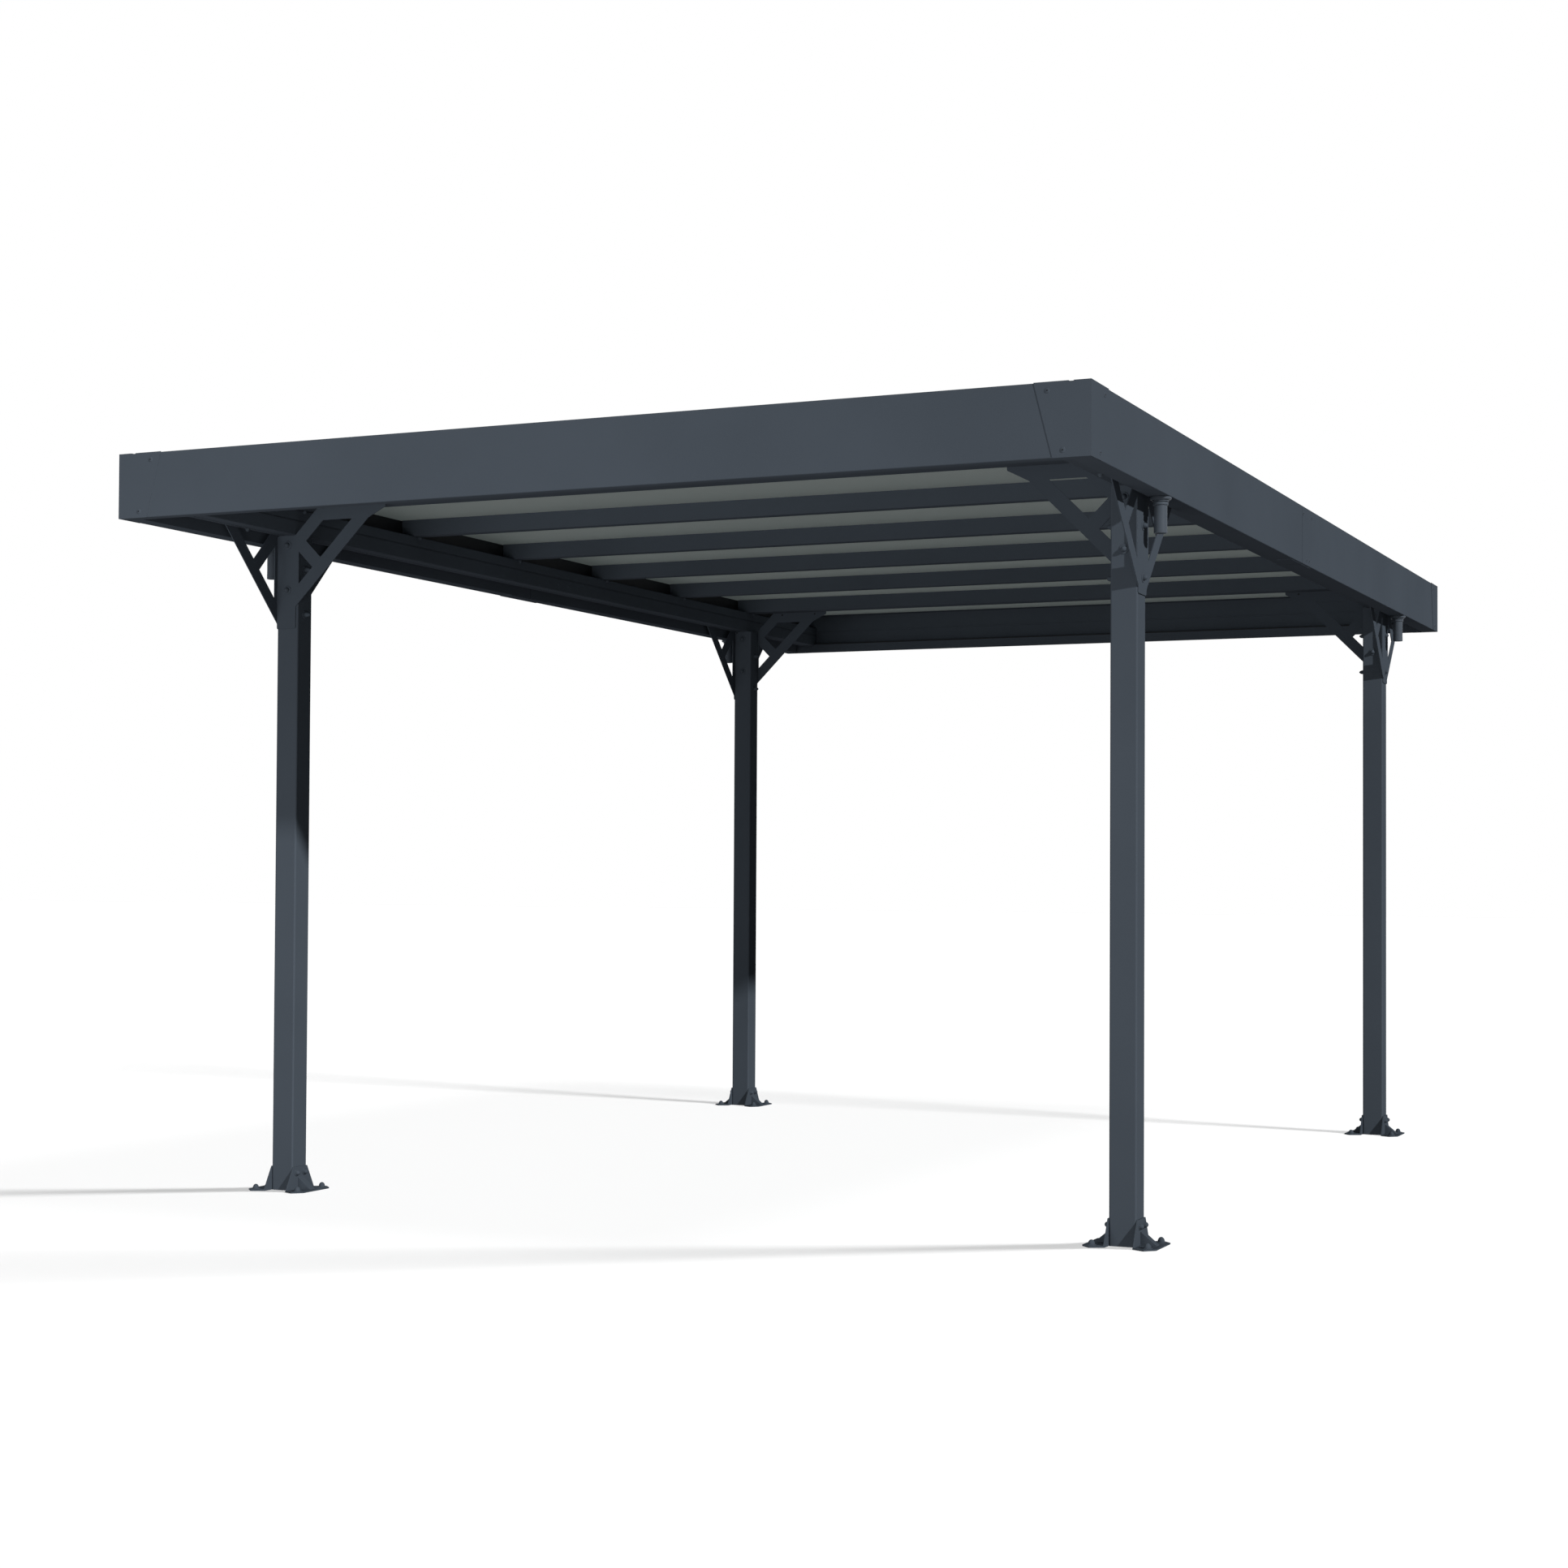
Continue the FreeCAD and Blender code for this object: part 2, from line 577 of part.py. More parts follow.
def make_spout(side, end):
    """A short drain pipe with its flange and nut below the gutter, beside a post."""
    name = f"drain_spout_{end}_{side}"
    body = new_body(name)
    outer = "(Sizes.spout_diameter / 2)"
    inner = f"({outer} - Sizes.spout_wall)"
    nut = "(Sizes.spout_nut_diameter / 2)"
    rim = "(Sizes.spout_flange_diameter / 2)"
    flange_low = "(-Sizes.spout_flange_height)"
    nut_low = f"({flange_low} - Sizes.spout_nut_height)"
    low = f"({nut_low} - Sizes.spout_length)"
    section = sketch_on(body, f"{name}_section", "XZ_Plane")
    outline(section, [
        (inner, low), (outer, low), (outer, nut_low), (nut, nut_low), (nut, flange_low),
        (rim, flange_low), (rim, "0"), (inner, "0"),
    ])
    turned = body.newObject("PartDesign::Revolution", f"{name}_turned")
    turned.Profile = section
    turned.ReferenceAxis = (section, ["V_Axis"])
    turned.Angle = 360
    place(body,
          signed(SIDES[side], f"{HALF_WIDTH} - Sizes.spout_inset"),
          f"{signed(ENDS[end], f'{POST_END} - Sizes.post_size / 2')} + Sizes.spout_shift",
          EAVE)


for side in SIDES:
    make_side_beam(side)
    for end in ENDS:
        make_post(side, end)
        make_foot(side, end)
        make_gutter(side, end)
        make_corner_cover(side, end)
        make_cross_brace(side, end)
        make_side_brace(side, end)
        make_spout(side, end)
for end in ENDS:
    make_end_fascia(end)

first_member = f"(Sizes.post_size / 2 - {POST_END})"
member_lines = [f"({first_member} + {number} * {BAY})" for number in range(SIZES["purlin_count"] + 2)]
make_cross_member("cross_beam_front", member_lines[0], "Sizes.post_size")
make_cross_member("cross_beam_rear", member_lines[-1], "Sizes.post_size")
for number, line in enumerate(member_lines[1:-1], start=1):
    make_cross_member(f"purlin_{number}", line, "Sizes.purlin_width")

panel_lines = [f"(-{PANEL_END})", *member_lines, PANEL_END]
for number in range(len(panel_lines) - 1):
    make_panel(number + 1, panel_lines[number], panel_lines[number + 1])

doc.recompute()

for item in doc.Objects:
    if "Invalid" in item.State or "Error" in item.State:
        raise RuntimeError(f"{item.Name} failed: {item.State}")
for piece in pieces:
    if piece.Shape.isNull() or not piece.Shape.isValid():
        raise RuntimeError(f"{piece.Label} has no valid shape")

os.makedirs("parts", exist_ok=True)
for piece in pieces:
    piece.Shape.exportStep(f"parts/{piece.Label}.step")
print(len(pieces), "pieces")
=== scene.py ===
"""Looks of a flat-roof carport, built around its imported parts. Metres throughout."""

import json
import math

import bmesh
import bpy
from bpy.props import FloatProperty, FloatVectorProperty, PointerProperty
from mathutils import Matrix, Vector


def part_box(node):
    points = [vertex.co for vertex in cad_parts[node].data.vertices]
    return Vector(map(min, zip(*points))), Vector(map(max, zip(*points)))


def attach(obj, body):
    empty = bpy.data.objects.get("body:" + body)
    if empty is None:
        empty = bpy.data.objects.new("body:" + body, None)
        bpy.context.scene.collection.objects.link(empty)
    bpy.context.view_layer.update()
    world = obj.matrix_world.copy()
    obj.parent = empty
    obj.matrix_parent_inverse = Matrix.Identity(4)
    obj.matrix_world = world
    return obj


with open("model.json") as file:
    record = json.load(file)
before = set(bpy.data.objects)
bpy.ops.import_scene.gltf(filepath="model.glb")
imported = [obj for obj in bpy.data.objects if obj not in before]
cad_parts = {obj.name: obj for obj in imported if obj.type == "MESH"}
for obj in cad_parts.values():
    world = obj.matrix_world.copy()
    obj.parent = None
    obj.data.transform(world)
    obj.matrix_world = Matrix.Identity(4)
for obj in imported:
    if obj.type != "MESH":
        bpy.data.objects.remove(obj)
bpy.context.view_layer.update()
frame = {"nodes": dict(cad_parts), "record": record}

bl_info = {
    "name": "Flat-roof carport",
    "version": (1, 0, 0),
    "blender": (4, 5, 0),
    "location": "3D View > Sidebar > Carport",
    "description": "Dresses the carport's parts with fittings, finishes and a stage",
    "category": "Object",
}

SIDES = {"left": -1, "right": 1}
ENDS = {"front": -1, "rear": 1}
CORNERS = [(side, end) for side in SIDES for end in ENDS]
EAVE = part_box("corner_cover_front_left")[0].z
X, Y = 0, 1
UP, DOWN, FORWARD = (0, 0, 1), (0, 0, -1), (0, -1, 0)
SHARP_ANGLE = math.radians(35)
MATERIALS = {}
TREES = {}

# A fitting's sizes: diameter and height of the head, diameter and thickness of the washer
STANDARD_DOME = (0.016, 0.007, 0.024, 0.002)
FOOT_BOLT = (0.016, 0.010, 0.022, 0.002)
BEAM_SCREW = (0.013, 0.007, 0.015, 0.001)
# Dark marks that are painted shade of small holes
HOLE_SHADE_MARK = (0.0055, 0.0006, 0.0070, 0.0008)
BRACE_BOLT_HEIGHT, BRACE_NUT_HEIGHT, BRACE_WASHER_THICKNESS = 0.0110, 0.018, 0.002
ANCHOR_HEIGHT, ANCHOR_WASHER, ANCHOR_WASHER_THICKNESS = 0.0125, 0.027, 0.002
SCREW_HEIGHT, SCREW_RIM_SHARE, SCREW_RIM_THICKNESS = 0.0014, 1.05, 0.0004
# The socket on a screw's head is a small dark disc: painted shade of its recess
SOCKET_SHADE_SHARE, SOCKET_SHADE_HEIGHT, SOCKET_SHADE_RIM_SHARE, SOCKET_SHADE_RIM_THICKNESS = 0.30, 0.0018, 0.34, 0.0015
RIVET_HEAD = 0.0065

# The washer's rim: how steeply it rises, and how far a ball's rings are pushed out to it
RIM_SLOPE, RIM_POWER, RIM_LIMIT, RIM_CENTRE = 1.7, -0.75, 40.0, 0.0001

# The finishes: shares by which clouds, speckle, webs and joints lighten or darken a colour
COAT_CLOUDS, COAT_SPECKLE = (0.94, 1.07), 1.10
JOINT_SHARE, JOINT_STRENGTH, JOINT_HALF = 0.12, 0.75, 0.0013
WEB_SHARE, WEB_STRENGTH, WEB_EDGE = 0.80, 0.35, 0.42
SHEET_CLOUDS, SHEET_CLOUD_STRENGTH, SHEET_THROUGH = 1.12, 0.25, 0.5
PLASTIC_CLOUDS = (0.95, 1.08)

# Levels of the brace bolts from the eave
CROSS_BRACE_LEVELS = (-0.001, -0.139)
SIDE_BRACE_LEVELS = (-0.074, -0.212)

# A foot's plate, its bolts on either side of the post's middle, and its anchors
FOOT_PLATE = 0.004
FOOT_BOLT_LEVEL, FOOT_BOLT_ALONG = 0.054, 0.0205
ANCHOR_OUT, ANCHOR_ALONG = 0.038, 0.066

# Sheet screws as distances from a corner or a gutter's end, and levels from the eave
COVER_SCREWS = ((0.110, 0.164), (0.071, 0.018))
SPLICE_SCREWS = ((0.010, 0.161), (0.135, 0.161), (0.055, 0.016), (0.095, 0.016))

# Rivets on the side beams, a screw beside each cross member, and screws from below as
# distances across and along from the middle
RIVETS_ALONG = (-0.104, -0.031, 0.042, 0.115)
RIVET_LEVELS = (0.054, 0.085)
CROSS_MEMBERS = ("cross_beam_front", "purlin_1", "purlin_2", "purlin_3", "purlin_4",
                 "cross_beam_rear")
MEMBER_SCREW_ASIDE, MEMBER_SCREW_DROP = 0.012, 0.004
BEAM_FOOT_SCREW = (1.350, 1.885)
COVER_FOOT_SCREW = (1.372, 2.105)

# Three dark marks at each rear corner, painted shade of small holes, as distance from the
# middle and level from the ground
PLATE_HOLE_SHADES = ((1.170, 2.0745), (1.021, 2.0745))
POST_HOLE_SHADE = (1.346, 1.9985)

# Trims: the seals' line and half width (rubber whose near-black is also painted shade in the gap
# above the side beams), the cover strips over joints, and the hems' strips as end gap, half
# thickness, foot and top from the eave; the second hem strip is a dark painted shadow above each
# hem
SEAL_AND_SHADE_LINE, SEAL_AND_SHADE_HALF = 1.348, 0.0015
STRIP_END_GAP, STRIP_HALF, STRIP_SINK, STRIP_RISE = 0.001, 0.009, 0.0004, 0.0016
HEM = (0.001, 0.0012, 0.0010, 0.033)
HEM_PAINTED_SHADOW = (0.002, 0.0009, 0.032, 0.0375)

# Rings on a drain spout, as radius and level from its foot
RING_TURNS = 40
TIP_RING = ((0.0146, 0.004), (0.0146, -0.011), (0.0150, -0.0116), (0.0172, -0.0116),
            (0.0178, -0.011), (0.0178, 0.004))
COLLAR_RING = ((0.0165, 0.070), (0.0165, 0.0625), (0.0195, 0.0625), (0.0203, 0.0635),
               (0.0203, 0.070))
FLANGE_RING = ((0.0180, 0.0835), (0.0180, 0.0765), (0.0262, 0.0765), (0.0285, 0.0785),
               (0.0285, 0.0835))

# The floor: what the camera sees, and the light that it throws on the object from round the
# footprint, rising over half a metre, falling off further out and strongest in front
WHITE = (1, 1, 1, 1)
FLOOR_GREY, FLOOR_GLOW, FLOOR_REACH = (0.5, 0.5, 0.5, 1), 0.135, 60.0
FOOTPRINT_X, FOOTPRINT_Y = 1.1, 2.1
BOUNCE_COLOUR, BOUNCE, BOUNCE_INSIDE = (0.90, 0.87, 0.87, 1), 0.78, 0.02
BOUNCE_RISE, FALL_START, FALL_LENGTH, FALL = 2.0, 1.0, 3.0, 0.7
SIDE_SHARE = 0.52
SKY_COLOUR, SKY = (0.94, 0.97, 1.0, 1), 0.055

# Sun lamps as energy, angle in degrees and the way they shine
OBJECT_SUNS = {"key": (3.45, 1.6, (-1.85, 0.775, -1.0)),
               "front_soft": (0.20, 40.0, (0.15, 1.0, -0.35)),
               "back_soft": (3.0, 30.0, (0.75, -0.65, -0.45))}
FLOOR_SUNS = {"front": (5.4, 11.0, (-0.82, -0.57, -0.55)),
              "rear": (5.4, 11.0, (-0.98, 0.14, -0.50)),
              "roof": (0.5, 12.0, (-1.1, 0.0, -1.973))}
FILL_SIZE, FILL_ENERGY = (4.0, 1.4), 105.0
FILL_PLACE, FILL_AIM = (-0.9, -6.5, 0.75), (0.2, 0.0, 1.4)

# The camera that was fitted to the photo: place in metres, turns in radians, focal length and
# centre in the photo's pixels, and the sensor in millimetres
PHOTO_WIDTH = 1932
CAMERA_PLACE = (3.2478, -8.34483, 0.96376)
YAW, PITCH, ROLL = 0.43546, 0.02396, 0.0059
FOCAL, CENTRE_X, CENTRE_Y = 3196.75, 893.29, 1003.66
SENSOR_WIDTH, CLIP_END = 36.0, 200.0


def linear(red, green, blue):
    """A colour given as 0 to 255 on screen, as the shader wants it."""
    parts = [value / 255 for value in (red, green, blue)]
    return tuple(p / 12.92 if p <= 0.04045 else ((p + 0.055) / 1.055) ** 2.4 for p in parts)


class CoatSettings(bpy.types.PropertyGroup):
    """The powder coat on every metal part."""

    colour: FloatVectorProperty(
        name="Coat colour", description="Anthracite of the powder coat", subtype="COLOR",
        size=3, min=0, max=1, default=linear(68, 75, 83))
    plate_colour: FloatVectorProperty(
        name="Plate colour", description="Coat on braces and feet", subtype="COLOR",
        size=3, min=0, max=1, default=linear(66, 73, 81))
    roughness: FloatProperty(
        name="Roughness", description="How matt the coat is", default=0.60, min=0, max=1,
        subtype="FACTOR")
    grain: FloatProperty(
        name="Grain", description="Size of the coat's fine texture", default=0.0016,
        min=0.0002, max=0.01, unit="LENGTH", precision=4)


class RoofSettings(bpy.types.PropertyGroup):
    """The translucent roof sheets."""

    colour: FloatVectorProperty(
        name="Sheet colour", description="Smoky tint of the sheets", subtype="COLOR",
        size=3, min=0, max=1, default=linear(152, 158, 157))
    # Colour of the rubber seals, and also the dark of the painted shade in screw sockets, small
    # holes and above the hems
    seal_and_painted_shade_colour: FloatVectorProperty(
        name="Seal colour", description="Rubber under the sheets' edges", subtype="COLOR",
        size=3, min=0, max=1, default=linear(26, 28, 31))
    chamber: FloatProperty(
        name="Chamber width", description="Spacing of the webs inside a sheet",
        default=0.011, min=0.004, max=0.04, unit="LENGTH", precision=4)


class FittingSettings(bpy.types.PropertyGroup):
    """Sizes of bolts, anchors and screws."""

    bolt_head: FloatProperty(
        name="Bolt head", description="Diameter of the braces' dome heads", default=0.0160,
        min=0.006, max=0.04, unit="LENGTH", precision=4)
    bolt_washer: FloatProperty(
        name="Bolt washer", description="Diameter of the washer below a dome head",
        default=0.0265, min=0.008, max=0.06, unit="LENGTH", precision=4)
    anchor_head: FloatProperty(
        name="Anchor head", description="Diameter of the ground anchors' domes",
        default=0.019, min=0.01, max=0.05, unit="LENGTH", precision=4)
    screw_head: FloatProperty(
        name="Screw head", description="Diameter of the sheet screws' heads", default=0.0135,
        min=0.003, max=0.02, unit="LENGTH", precision=4)


class Socket:
    """An output of a node tree that can be used in sums."""

    def __init__(self, nodes, output):
        self.nodes = nodes
        self.output = output

    def maths(self, operation, *others, clamp=False):
        return self.nodes.maths(operation, self, *others, clamp=clamp)

    def __add__(self, other):
        return self.maths("ADD", other)

    def __sub__(self, other):
        return self.maths("SUBTRACT", other)

    def __mul__(self, other):
        return self.maths("MULTIPLY", other)

    def __truediv__(self, other):
        return self.maths("DIVIDE", other)

    def __radd__(self, other):
        return self + other

    def __rmul__(self, other):
        return self * other

    def __rsub__(self, other):
        return self.nodes.maths("SUBTRACT", other, self)

    def __rtruediv__(self, other):
        return self.nodes.maths("DIVIDE", other, self)


class Nodes:
    """A node tree, filled from Python expressions."""

    def __init__(self, tree):
        self.tree = tree

    def node(self, kind, settings=None, inputs=None, output=0):
        """A new node's output, after its settings are made and its inputs filled."""
        made = self.tree.nodes.new(kind)
        for name, value in (settings or {}).items():
            setattr(made, name, value)
        for name, value in (inputs or {}).items():
            if isinstance(value, Socket):
                self.tree.links.new(value.output, made.inputs[name])
            else:
                made.inputs[name].default_value = value
        return Socket(self, made.outputs[output])

    def maths(self, operation, *values, clamp=False):
        settings = {"operation": operation, "use_clamp": clamp}
        return self.node("ShaderNodeMath", settings, dict(enumerate(values)))

    def split(self, vector):
        """The x, y and z of a vector."""
        outputs = self.node("ShaderNodeSeparateXYZ", None, {0: vector}).output.node.outputs
        return [Socket(self, output) for output in outputs]

    def joined(self, x, y, z):
        """A vector from its x, y and z."""
        return self.node("ShaderNodeCombineXYZ", None, {0: x, 1: y, 2: z})


class Shade(Nodes):
    """The shader of a material or a world."""

    def __init__(self, owner):
        owner.use_nodes = True
        super().__init__(owner.node_tree)
        self.owner = owner
        self.tree.nodes.clear()

    def place(self):
        return self.node("ShaderNodeTexCoord", output="Object")

    def mix(self, factor, first, second):
        """A colour between two others."""
        made = self.node("ShaderNodeMix", {"data_type": "RGBA"}, {0: factor}).output.node
        for socket, value in ((made.inputs[6], first), (made.inputs[7], second)):
            if isinstance(value, Socket):
                self.tree.links.new(value.output, socket)
            else:
                socket.default_value = (*value[:3], 1)
        return Socket(self, made.outputs[2])

    def noise(self, place, scale, detail):
        return self.node("ShaderNodeTexNoise", None, {
            "Vector": place, "Scale": scale, "Detail": detail, "Roughness": 0.55})

    def stretched(self, value, low, high, top):
        """A value between low and high, brought to between 0 and top."""
        return self.node("ShaderNodeMapRange", None, {
            "Value": value, "From Min": low, "From Max": high, "To Min": 0.0, "To Max": top})

    def bump(self, height, strength, distance):
        return self.node("ShaderNodeBump", None, {
            "Strength": strength, "Distance": distance, "Height": height})

    def surface(self, colour, roughness, bump, specular):
        return self.node("ShaderNodeBsdfPrincipled", None, {
            "Base Color": colour, "Roughness": roughness, "Normal": bump,
            "Specular IOR Level": specular})

    def glow(self, strength, colour=WHITE, kind="ShaderNodeEmission"):
        return self.node(kind, None, {"Color": colour, "Strength": strength})

    def blend(self, factor, first, second):
        """A shader between two others."""
        return self.node("ShaderNodeMixShader", None, {0: factor, 1: first, 2: second})

    def shown_white(self):
        """1 where the camera, a reflection or glass looks, 0 for light on the object."""
        seen = self.node("ShaderNodeLightPath", output="Is Camera Ray")
        for name in ("Is Glossy Ray", "Is Transmission Ray"):
            seen = seen.maths("ADD", self.node("ShaderNodeLightPath", output=name), clamp=True)
        return seen

    def finish(self, shader, kind="ShaderNodeOutputMaterial"):
        output = self.tree.nodes.new(kind)
        self.tree.links.new(shader.output, output.inputs["Surface"])
        return self.owner


def shaded(colour, share):
    """A colour made darker or lighter."""
    return [part * share for part in colour]


def powder_coat(name, colour, roughness, grain, seam=None):
    """Matt coat with a fine orange-peel grain, faint clouding and, on a gutter, a dark joint."""
    shade = Shade(bpy.data.materials.new(name))
    place = shade.place()
    fine = shade.noise(place, scale=1 / grain, detail=2.0)
    clouds = shade.noise(place, scale=2.2, detail=3.0)
    tone = shade.stretched(clouds, low=0.3, high=0.7, top=1.0)
    base = shade.mix(tone, *(shaded(colour, share) for share in COAT_CLOUDS))
    speckle = shade.stretched(fine, low=0.35, high=0.65, top=0.5)
    base = shade.mix(speckle, base, shaded(colour, COAT_SPECKLE))
    if seam is not None:
        along = shade.split(place)[Y]
        joint = (along - seam).maths("ABSOLUTE").maths("LESS_THAN", JOINT_HALF)
        base = shade.mix(joint * JOINT_STRENGTH, base, shaded(colour, JOINT_SHARE))
    rough = clouds * 0.08 + (roughness - 0.04)
    bump = shade.bump(fine, strength=0.25, distance=0.0004)
    return shade.finish(shade.surface(base, rough, bump, specular=0.0))


def roof_sheet(name, colour, chamber):
    """Chambered sheet: the webs inside show as faint lines along the carport."""
    shade = Shade(bpy.data.materials.new(name))
    place = shade.place()
    phase = (shade.split(place)[X] / chamber).maths("FRACT")
    web = (phase - 0.5).maths("ABSOLUTE").maths("GREATER_THAN", WEB_EDGE)
    clouds = shade.noise(place, scale=3.0, detail=3.0)
    base = shade.mix(web * WEB_STRENGTH, colour, shaded(colour, WEB_SHARE))
    base = shade.mix(clouds * SHEET_CLOUD_STRENGTH, base, shaded(colour, SHEET_CLOUDS))
    fine = shade.noise(place, scale=900.0, detail=1.0)
    bump = shade.bump(web * -0.5 + fine * 0.1, strength=0.2, distance=0.0006)
    surface = shade.surface(base, clouds * 0.1 + 0.50, bump, specular=0.02)
    through = shade.node("ShaderNodeBsdfTranslucent", None, {"Color": base})
    return shade.finish(shade.blend(SHEET_THROUGH, surface, through))


def spout_plastic(name, colour):
    """Matt moulded plastic of the drain spouts, also used for dark rubber and painted shade."""
    shade = Shade(bpy.data.materials.new(name))
    place = shade.place()
    fine = shade.noise(place, scale=1400.0, detail=2.0)
    clouds = shade.noise(place, scale=30.0, detail=2.0)
    base = shade.mix(clouds, *(shaded(colour, share) for share in PLASTIC_CLOUDS))
    bump = shade.bump(fine, strength=0.15, distance=0.0002)
    return shade.finish(shade.surface(base, fine * 0.1 + 0.50, bump, specular=0.10))


def placed(name, data):
    """A new object at the origin of the scene."""
    made = bpy.data.objects.new(name, data)
    bpy.context.scene.collection.objects.link(made)
    return made


def dress(name, mesh, material):
    """Make a mesh a finished piece with its material and its body."""
    piece = placed(name, mesh)
    # The parts have no slot for rubber, so it shares the plastic's
    for face in mesh.polygons:
        face.use_smooth = True
    mesh.set_sharp_from_angle(angle=SHARP_ANGLE)
    mesh.materials.clear()
    mesh.materials.append(MATERIALS[material])
    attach(piece, "root")
    return piece


def fitting(head, height, washer, thickness):
    """The named inputs of the fitting tree."""
    return {"Head Diameter": head, "Head Height": height,
            "Washer Diameter": washer, "Washer Thickness": thickness}


def scatter(name, points, sizes, material):
    """Put a fitting on points that carry the way they face, and keep a plain mesh."""
    mesh = bpy.data.meshes.new(f"{name}_points")
    mesh.from_pydata([tuple(place) for place, _ in points], [], [])
    facing = mesh.attributes.new("facing", "FLOAT_VECTOR", "POINT")
    for item, (_, way) in zip(facing.data, points):
        item.vector = way
    carrier = placed(f"{name}_carrier", mesh)
    modifier = carrier.modifiers.new("fittings", "NODES")
    modifier.node_group = TREES["dome"]
    values = {**sizes, "Material": MATERIALS[material]}
    for item in TREES["dome"].interface.items_tree:
        if item.item_type == "SOCKET" and item.in_out == "INPUT" and item.name in values:
            modifier[item.identifier] = values[item.name]
    graph = bpy.context.evaluated_depsgraph_get()
    made = bpy.data.meshes.new_from_object(carrier.evaluated_get(graph))
    bpy.data.objects.remove(carrier)
    return dress(name, made, material)


def keep(form, name, material):
    """Turn an edited form into a finished piece."""
    mesh = bpy.data.meshes.new(name)
    form.to_mesh(mesh)
    form.free()
    return dress(name, mesh, material)


class Boxes:
    """Thin strips gathered into one piece."""

    def __init__(self):
        self.form = bmesh.new()

    def add(self, low, high):
        middle = (Vector(low) + Vector(high)) / 2
        size = Vector(high) - Vector(low)
        bmesh.ops.create_cube(self.form, size=1.0, matrix=(
            Matrix.Translation(middle) @ Matrix.Diagonal((*size, 1.0))))

    def finish(self, name, material):
        return keep(self.form, name, material)


class FittingTree(Nodes):
    """A Geometry Nodes tree with named inputs that puts a form on points."""

    def __init__(self, name, sizes):
        super().__init__(bpy.data.node_groups.new(name, "GeometryNodeTree"))
        self.tree.is_modifier = True
        face = self.tree.interface
        face.new_socket("Geometry", in_out="INPUT", socket_type="NodeSocketGeometry")
        for size, value in sizes.items():
            socket = face.new_socket(size, in_out="INPUT", socket_type="NodeSocketFloat")
            socket.default_value = value
            socket.subtype = "DISTANCE"
        face.new_socket("Material", in_out="INPUT", socket_type="NodeSocketMaterial")
        face.new_socket("Geometry", in_out="OUTPUT", socket_type="NodeSocketGeometry")
        self.group_input = self.tree.nodes.new("NodeGroupInput")

    def given(self, name):
        """A named input of the tree."""
        return Socket(self, self.group_input.outputs[name])

    def ball(self, segments, rings):
        return self.node("GeometryNodeMeshUVSphere", None, {
            "Segments": segments, "Rings": rings, "Radius": 1.0})

    def moved(self, geometry, position):
        return self.node("GeometryNodeSetPosition", None, {
            "Geometry": geometry, "Position": position})

    def together(self, *forms):
        made = self.tree.nodes.new("GeometryNodeJoinGeometry")
        for form in forms:
            self.tree.links.new(form.output, made.inputs[0])
        return Socket(self, made.outputs[0])

    def finish(self, form):
        """Put the form on every point, turned the way the point faces."""
        facing = self.node("GeometryNodeInputNamedAttribute", {"data_type": "FLOAT_VECTOR"},
                           {"Name": "facing"})
        turn = self.node("FunctionNodeAlignRotationToVector", {"axis": "Z"}, {"Vector": facing})
        copies = self.node("GeometryNodeInstanceOnPoints", None, {
            "Points": self.given("Geometry"), "Instance": form, "Rotation": turn})
        real = self.node("GeometryNodeRealizeInstances", None, {"Geometry": copies})
        coated = self.node("GeometryNodeSetMaterial", None, {
            "Geometry": real, "Material": self.given("Material")})
        output = self.tree.nodes.new("NodeGroupOutput")
        self.tree.links.new(coated.output, output.inputs[0])
        return self.tree


def dome_tree():
    """A dome head on a round washer with a softened rim."""
    tree = FittingTree("dome_fitting", fitting(*STANDARD_DOME))
    head = tree.given("Head Diameter") * 0.5
    washer = tree.given("Washer Diameter") * 0.5
    thick = tree.given("Washer Thickness")
    x, y, z = tree.split(tree.node("GeometryNodeInputPosition"))
    height = z.maths("MAXIMUM", 0.0)
    dome = tree.moved(tree.ball(segments=24, rings=12), tree.joined(
        x * head, y * head, height * tree.given("Head Height") + thick))
    # The rings of a ball pushed towards one rim make a washer with rounded edges
    flat = tree.joined(x, y, 0.0)
    reach = tree.node("ShaderNodeVectorMath", {"operation": "LENGTH"}, {0: flat}, output=1)
    wider = reach.maths("MAXIMUM", RIM_CENTRE).maths("POWER", RIM_POWER)
    spread = tree.node("ShaderNodeVectorMath", {"operation": "SCALE"}, {
        0: flat, "Scale": wider.maths("MINIMUM", RIM_LIMIT) * washer})
    wide_x, wide_y, _ = tree.split(spread)
    rise = (height * RIM_SLOPE).maths("MINIMUM", 1.0) * thick
    disc = tree.moved(tree.ball(segments=28, rings=8), tree.joined(wide_x, wide_y, rise))
    return tree.finish(tree.together(dome, disc))


def post_centre(side, end):
    """The middle of a post's box."""
    low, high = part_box(f"post_{end}_{side}")
    return (low + high) / 2


def face_of(box, way, axis):
    """Where a box ends along an axis, on its low side for -1 and its high side for 1."""
    return box[0 if way < 0 else 1][axis]


